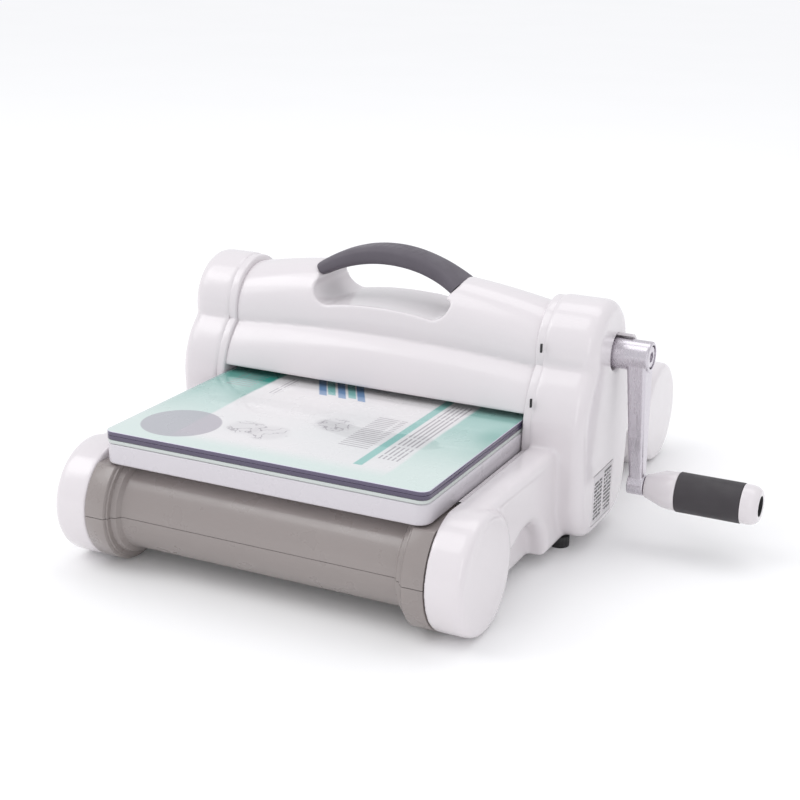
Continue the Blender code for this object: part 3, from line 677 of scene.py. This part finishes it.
def make_panel(side):
    """The inner panel, whose rounded rim shows as a bead between cover and casing."""
    name = "right" if side > 0 else "left"
    start, end = side * PANEL_IN, side * PANEL_OUT
    low, high, radius = SKIRT_Z + 1, ROLL_Z + CAP_R - 3.6, CAP_R + 0.8

    def outline(inset):
        first, last = (math.degrees(math.asin((z - ROLL_Z) / radius)) for z in (high, low))
        front = [(-TOWER_HALF - 2, high - inset)]
        front += arc((-ROLL_Y, ROLL_Z), radius + inset, first, last, 24)
        front = [(y, min(max(z, low + inset), high - inset)) for y, z in front]
        return lobes(1.0 + inset) + front + [(-y, z) for y, z in reversed(front)]

    outer_half = rounded_rings(outline, (start + end) / 2, end, PANEL_ROUND, 4)
    inner_half = [[(start + end - x, y, z) for x, y, z in ring] for ring in reversed(outer_half)]
    bm = bmesh.new()
    loft(bm, inner_half + outer_half[1:])
    panel = new_object(bm, f"{name}_panel_bead")
    for roller in ("lower_roller", "upper_roller"):
        roller_low, roller_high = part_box(roller)
        middle_z = (roller_low.z + roller_high.z) / 2 / MM
        hole_start, hole_end = side * (PANEL_IN - 6), side * (PANEL_OUT + 6)
        subtract(panel, cylinder("shaft_hole", hole_start, hole_end, SHAFT_HOLE_R, 0, middle_z))
    finish_piece(panel, WHITE, "housing", [f"{name}_inner_panel"])


def arch(x):
    """How much taller than the towers' outline the cover is at X."""
    return ARCH_TOP - ARCH_DROP * ((x - ARCH_X) / ARCH_SPAN) ** 2


def hole_cutter():
    """The finger hole and the seat of the grip above it, as a bar along Y."""
    centre_left = (HOLE_LEFT + HOLE_CORNER, HOLE_Z + HOLE_CORNER)
    centre_right = (HOLE_RIGHT - HOLE_CORNER, HOLE_Z + HOLE_CORNER)
    half = (centre_right[0] - centre_left[0]) / 2
    bow = (half**2 + HOLE_BOW**2) / (2 * HOLE_BOW)
    middle = (centre_left[0] + half, HOLE_Z + HOLE_BOW - bow)
    spread = math.degrees(math.asin(half / bow))
    outline = list(arc(centre_left, HOLE_CORNER, 180, 270, 12))[:-1]
    outline += list(arc(middle, bow, 90 + spread, 90 - spread, 24))
    outline += list(arc(centre_right, HOLE_CORNER, -90, 0, 12))[1:]
    outline += [grip_point(1, up, SEAT_GAP) for up in (0, 1)]
    outline += [(GRIP_RIGHT + 3, ABOVE_GRIP), (GRIP_LEFT - 3, ABOVE_GRIP)]
    outline += [grip_point(-1, up, SEAT_GAP) for up in (1, 0)]
    bm = bmesh.new()
    loft(bm, [[(x, y, z) for x, z in outline] for y in (-HOLE_HALF_DEPTH, HOLE_HALF_DEPTH)])
    return new_object(bm, "hole_cutter")


def grip_point(along, up, gap=0.0):
    """(x, z) on the grip: along runs from -1 at the left end to 1, up from 0 underneath to 1 on top."""
    top_centre = (GRIP_MID_X, GRIP_TOP_Z - GRIP_TOP_R)
    reach = (GRIP_RIGHT if along > 0 else GRIP_LEFT) - GRIP_MID_X
    angle = math.asin((abs(reach) + gap) / GRIP_TOP_R) * along
    under = GRIP_UNDER_Z - GRIP_UNDER_R - top_centre[1]
    drop = under * math.cos(angle)
    under_reach = drop + math.sqrt(drop**2 - under**2 + GRIP_UNDER_R**2)
    reach = under_reach + (GRIP_TOP_R - under_reach) * up
    return top_centre[0] + reach * math.sin(angle), top_centre[1] + reach * math.cos(angle)


def make_cover():
    """The white top cover: the towers' outline, raised in the middle, with its finger hole."""
    rings = []
    stations = 48
    for k in range(stations + 1):
        x = COVER_X * (2 * k / stations - 1)
        rings.append([
            (x, y, COVER_EDGE_Z + (z - COVER_EDGE_Z) * (arch(x) if z > COVER_EDGE_Z else 1.0))
            for y, z in lobes(COVER_INSET, COVER_EDGE_Z)
        ])
    bm = bmesh.new()
    loft(bm, rings)
    cover = new_object(bm, "top_cover_shell")
    subtract(cover, hole_cutter())
    soften(cover, COVER_VOXEL, COVER_SMOOTHING)

    def hidden(centre, normal):
        at_end = abs(centre.x) > COVER_X - 1 and abs(normal.x) > 0.8
        underneath = centre.z < COVER_EDGE_Z + 0.8 and normal.z < -0.8
        return at_end or underneath

    open_faces(cover, hidden)
    thicken(cover, SHELL)
    finish_piece(cover, WHITE, "housing", ["top_cover"], 80)


def make_grip():
    """The dark handle: an arched bar that widens towards its ends."""
    stations, corners, power = 40, 32, 2 / GRIP_SQUARENESS
    rings = []
    for k in range(stations + 1):
        along = 2 * k / stations - 1
        half = GRIP_HALF + GRIP_FLARE * abs(along) ** 3
        ring = []
        for c in range(corners):
            angle = 2 * math.pi * c / corners
            across = math.copysign(abs(math.cos(angle)) ** power, math.cos(angle)) * half
            up = 0.5 + 0.5 * math.copysign(abs(math.sin(angle)) ** power, math.sin(angle))
            x, z = grip_point(along, up)
            ring.append((x, across, z))
        rings.append(ring)
    bm = bmesh.new()
    loft(bm, rings)
    grip = new_object(bm, "carry_grip")
    finish_piece(grip, GRIP, "housing", ["handle_grip"], 50)


def make_roll(y, name):
    """A grey roll cover in two half shells, with stepped flanges next to the caps."""
    outer = [
        (SEAM_X - 0.3, CAP_R - 0.2),
        (SEAM_X - 0.6, CAP_R),
        (FLANGE_X + 6.6, CAP_R),
        (FLANGE_X + 6, CAP_R - 0.6),
        (FLANGE_X + 5.6, CAP_R - FLANGE_STEP),
        (FLANGE_X + 4.4, CAP_R - FLANGE_STEP - 0.2),
        (FLANGE_X + 4, CAP_R - 5),
        (FLANGE_X + 0.6, CAP_R - 6),
        (FLANGE_X - 1.4, ROLL_R + 0.4),
        (FLANGE_X - 3, ROLL_R),
    ]
    inner_r = ROLL_R - ROLL_WALL
    inner = [(-SEAM_X + 0.3, inner_r), (SEAM_X - 0.3, inner_r)]
    profile = outer + [(-x, r) for x, r in reversed(outer)] + inner
    tilt = math.degrees(HALVES_GAP / ROLL_R / 2)
    for half, start, flat_top in (("upper", 0.0, FLANGE_FLAT_Z), ("lower", 180.0, None)):
        ends = (start + tilt, start + 180 - tilt)
        shell = turned(f"{name}_roll_{half}_shell", profile, y, ROLL_Z, *ends, 64, flat_top)
        finish_piece(shell, GREY, "housing", [f"{name}_roll_{half}"])


def make_details():
    """Small fixed things on the right-hand side: two dark boxes that paint the shade in two slots, the hub's
    hood and a plain label.
    """
    # painted shade: dark boxes stand for the shade inside the two slots
    for k, (y, z) in enumerate(((-38.0, 138.6), (-52.6, 104.6))):
        slot_shade_box = rounded_box(f"painted_slot_shade_{k}", (121.0, y - 0.9, z - 3.0), (122.4, y + 0.9, z + 3.0), 0.4, 0.3)
        finish_piece(slot_shade_box, RUBBER_AND_SHADE, "housing", [])
    bm = bmesh.new()
    inner = list(arc((CRANK_Y, CRANK_Z), HUB_R + 1.4, 25, 85, 12))
    outer = list(arc((CRANK_Y, CRANK_Z), HUB_R + 3.2, 85, 25, 12))
    loft(bm, [[(x, y, z) for y, z in inner + outer] for x in (157.5, 166.0, 168.5)])
    hood = new_object(bm, "hub_hood")
    finish_piece(hood, WHITE, "housing", [])
    label = rounded_box("rating_label", (158.6, -25.0, 13.7), (159.08, 15.7, 50.0), 1.5, 0.04)
    finish_piece(label, LABEL, "housing", [])


# ---------------------------------------------------------------- crank and knob

def make_crank():
    """The cast arm: hub, tapered blade and knuckle fused together, then bored."""
    bm = bmesh.new()
    loft(bm, [
        blade_ring(CRANK_Z, ARM_TOP_HALF_Y, *ARM_TOP_X),
        blade_ring(KNOB_Z, ARM_LOW_HALF_Y, *ARM_LOW_X),
    ])
    hub = circle_outline(CRANK_Y, CRANK_Z, HUB_R, 64)
    knuckle = circle_outline(CRANK_Y, KNOB_Z, KNUCKLE_R, 48)
    loft(bm, rounded_rings(hub, HUB_START, HUB_FACE, 1.2))
    loft(bm, rounded_rings(knuckle, *KNUCKLE_X, 0.8))
    arm = soften(new_object(bm, "crank_casting"), CRANK_VOXEL, CRANK_SMOOTHING)
    subtract(arm, cylinder("shaft_bore", 140, HUB_FACE - 8.5, SHAFT_BORE_R, CRANK_Y, CRANK_Z))
    subtract(arm, cylinder("face_socket", HUB_FACE - 3.5, THROUGH_X, SCREW_R + 0.7, CRANK_Y, CRANK_Z))
    subtract(arm, cylinder("spindle_bore", ARM_TOP_X[0], THROUGH_X, BORE_R, CRANK_Y, KNOB_Z))
    finish_piece(arm, SATIN, "crank", ["crank_arm"], 60)


def blade_ring(z, half_y, inner, face):
    """The arm's bevelled section at one height, from X inner to its outer face."""
    front, back = CRANK_Y - half_y, CRANK_Y + half_y
    return [
        (inner, front + ARM_EDGE, z),
        (inner + ARM_EDGE, front, z),
        (face - ARM_EDGE, front, z),
        (face, front + ARM_EDGE, z),
        (face, back - ARM_EDGE, z),
        (face - ARM_EDGE, back, z),
        (inner + ARM_EDGE, back, z),
        (inner, back - ARM_EDGE, z),
    ]


def make_hub_screw():
    """The screw in the hub's face, with a hexagonal socket."""
    screw = turned("hub_cap_screw", [
        (HUB_FACE - 3.2, 0.0),
        (HUB_FACE - 3.2, SCREW_R),
        (HUB_FACE - 1.1, SCREW_R),
        (HUB_FACE - 0.6, SCREW_R - 0.5),
        (HUB_FACE - 0.6, 0.0),
    ], CRANK_Y, CRANK_Z, steps=48)
    subtract(screw, cylinder("hex_socket", HUB_FACE - 2.4, THROUGH_X, HEX_SOCKET_R, CRANK_Y, CRANK_Z, 6))
    finish_piece(screw, SATIN, "crank", ["hub_screw"])


def make_knob():
    """The knob: a white cone sleeve with a dark grip round its thick end."""
    core = KNOB_R_BIG - KNOB_WALL
    sleeve = turned("knob_cone", [
        (SKIN_END, core),
        (SKIN_START, core),
        (SKIN_START, KNOB_R_BIG - 0.3),
        (SKIN_START - 0.4, KNOB_R_BIG),
        (SKIN_START - 3, KNOB_R_BIG - 0.1),
        (SKIN_START - 10, KNOB_R_BIG - 0.9),
        (KNOB_START + 2, KNOB_R_SMALL + 0.4),
        (KNOB_START + 0.4, KNOB_R_SMALL),
        (KNOB_START, KNOB_R_SMALL - 0.4),
        (KNOB_START, BORE_R),
        (SKIN_END, BORE_R),
    ], CRANK_Y, KNOB_Z)
    finish_piece(sleeve, WHITE, "knob", ["knob_sleeve"])
    skin_r = KNOB_R_BIG + 0.3
    skin = turned("knob_skin", [
        (SKIN_END, skin_r - 0.4),
        (SKIN_END - 0.4, skin_r),
        (SKIN_START + 0.7, skin_r),
        (SKIN_START + 0.3, skin_r - 0.4),
        (SKIN_START + 0.3, core + 0.3),
        (SKIN_END, core + 0.3),
    ], CRANK_Y, KNOB_Z)
    finish_piece(skin, SKIN, "knob", ["knob_grip"])


def make_knob_cap():
    """The knob's domed end cap, with a dark recess in its face."""
    dome = []
    for degrees in range(90, -1, -10):
        turn = math.radians(degrees)
        x = KNOB_END - DOME_DEPTH * (1 - math.sin(turn))
        dome.append((x, KNOB_R_BIG - DOME_R * (1 - math.cos(turn))))
    recess = [(KNOB_END - 4, 0.0), (KNOB_END - 4, RECESS_R - 0.4), (KNOB_END - 0.4, RECESS_R)]
    socket = [
        (SKIN_END + 0.3, KNOB_R_BIG),
        (SKIN_END + 0.3, 5.0),
        (SKIN_END + 5, 5.0),
        (SKIN_END + 5, 0.0),
    ]
    cap = turned("knob_end_cap", recess + dome + socket, CRANK_Y, KNOB_Z)
    finish_piece(cap, (WHITE, RUBBER_AND_SHADE), "knob", ["knob_cap"])
    for face in cap.data.polygons:
        centre = face.center / MM
        off_axis = math.hypot(centre.y - CRANK_Y, centre.z - KNOB_Z)
        face.material_index = int(off_axis < RECESS_R and centre.x > KNOB_END - 5)


# ---------------------------------------------------------------- platform stack

def sheet_box(name, half_x, heights, end_gap, corner, edge, segments=3):
    """A rounded box as long as the platform, short of it by a gap at each end."""
    low = (-half_x, PLATFORM_FRONT + end_gap, heights[0])
    high = (half_x, PLATFORM_BACK - end_gap, heights[1])
    return rounded_box(name, low, high, corner, edge, segments)


def make_platform():
    """The platform, its adapter plate and the two clear pads, the upper one over the printed card."""
    base = sheet_box("platform_tray", PLATFORM_HALF_X, PLATFORM_Z, 0.0, 9.0, 1.6, 4)
    finish_piece(base, PLATFORM, "platform", ["platform_base"])
    plate = sheet_box("adapter_sheet", PAD_HALF_X, ADAPTER_Z, 0.4, 7.0, 0.4)
    finish_piece(plate, PALE, "platform", ["adapter_plate"])
    lower = sheet_box("lower_pad_sheet", PAD_HALF_X, LOWER_PAD_Z, 0.5, 6.0, 0.15)
    finish_piece(lower, PAD, "platform", ["lower_cutting_pad"])
    upper = sheet_box("upper_pad_sheet", PAD_HALF_X, UPPER_PAD_Z, 0.5, 6.0, 0.35)
    recess_z = (UPPER_PAD_Z[0] - 2, UPPER_PAD_Z[0] + 0.7)
    recess = sheet_box("card_recess", PAD_HALF_X - CARD_MARGIN, recess_z, 0.5 + CARD_MARGIN, 0.5, 0.05)
    subtract(upper, recess)
    finish_piece(upper, (PAD, PRINT), "platform", ["upper_cutting_pad"])
    for face in upper.data.polygons:
        if face.normal.z > 0.99 and face.center.z > (UPPER_PAD_Z[1] - 0.1) * MM:
            face.material_index = 1


# ---------------------------------------------------------------- CAD nodes that stay

def dress_nodes():
    """Gives every CAD node that is still shown a procedural material by its part."""
    for name, node in nodes.items():
        if "bushing" in name:
            finish = BRONZE
        elif name.endswith("_foot"):
            finish = RUBBER_AND_SHADE
        elif "timing_gear" in name or name == "drive_gear":
            finish = NYLON
        elif name == "printed_card":
            finish = PRINT
        else:
            finish = STEEL
        node.data.materials.clear()
        node.data.materials.append(finish)


# ---------------------------------------------------------------- stage

def make_stage():
    """A pale floor under an even white sky, with weak soft lamps."""
    bm = bmesh.new()
    signs = ((-1, -1), (1, -1), (1, 1), (-1, 1))
    bm.faces.new([bm.verts.new((x * FLOOR_HALF, y * FLOOR_HALF, FLOOR_Z)) for x, y in signs])
    floor = new_object(bm, "studio_floor")
    floor.data.materials.append(floor_paint())

    world = bpy.data.worlds.new("studio_world")
    bpy.context.scene.world = world
    world.use_nodes = True
    sky = world.node_tree.nodes["Background"]
    sky.inputs["Color"].default_value = (0.97, 0.975, 1.0, 1.0)
    sky.inputs["Strength"].default_value = 0.88

    def area(name, position, target, size, power):
        lamp = bpy.data.lights.new(name, "AREA")
        lamp.shape = "RECTANGLE"
        lamp.size, lamp.size_y = size
        lamp.energy = power
        obj = bpy.data.objects.new(name, lamp)
        obj.location = position
        obj.rotation_euler = (Vector(target) - Vector(position)).to_track_quat("-Z", "Y").to_euler()
        bpy.context.scene.collection.objects.link(obj)

    area("left_softbox", (-1.5, -0.9, 1.5), (0, 0, 0.08), (1.1, 1.1), 5)
    area("top_softbox", (0.1, 0.5, 1.9), (0, 0, 0.08), (1.6, 0.8), 5)
    area("front_strip", (0.9, -1.9, 0.9), (0, 0, 0.1), (0.5, 1.4), 3)
    sun = bpy.data.lights.new("soft_sun", "SUN")
    sun.energy = 0.4
    sun.angle = math.radians(35)
    sun_object = bpy.data.objects.new("soft_sun", sun)
    sun_object.rotation_euler = Vector((0.55, 0.35, -1.0)).to_track_quat("-Z", "Y").to_euler()
    bpy.context.scene.collection.objects.link(sun_object)


def make_camera():
    """The camera at the photo's angle: yaw to the right of the object, looking down on it."""
    yaw, pitch, roll = (math.radians(a) for a in (25.546, 18.131, 1.178))
    forward = Vector((-math.sin(yaw) * math.cos(pitch), math.cos(yaw) * math.cos(pitch), -math.sin(pitch)))
    level = Vector((math.cos(yaw), math.sin(yaw), 0))
    upward = level.cross(forward)
    right = level * math.cos(roll) + upward * math.sin(roll)
    up = upward * math.cos(roll) - level * math.sin(roll)
    lens = bpy.data.cameras.new("main_camera")
    lens.sensor_width = 36.0
    lens.lens = 69.88
    lens.clip_start, lens.clip_end = 0.05, 60.0
    camera = bpy.data.objects.new("main_camera", lens)
    turn = Matrix((right, up, -forward)).transposed().to_4x4()
    camera.matrix_world = Matrix.Translation((0.46296, -0.96659, 0.42317)) @ turn
    bpy.context.scene.collection.objects.link(camera)
    bpy.context.scene.camera = camera


make_casing(-1, LEFT_OUT)
make_casing(1, RIGHT_OUT)
make_panel(-1)
make_panel(1)
make_cover()
make_grip()
make_roll(-ROLL_Y, "front")
make_roll(ROLL_Y, "rear")
make_details()
make_crank()
make_hub_screw()
make_knob()
make_knob_cap()
make_platform()
dress_nodes()
make_stage()
make_camera()
bpy.context.scene.view_settings.view_transform = "Standard"
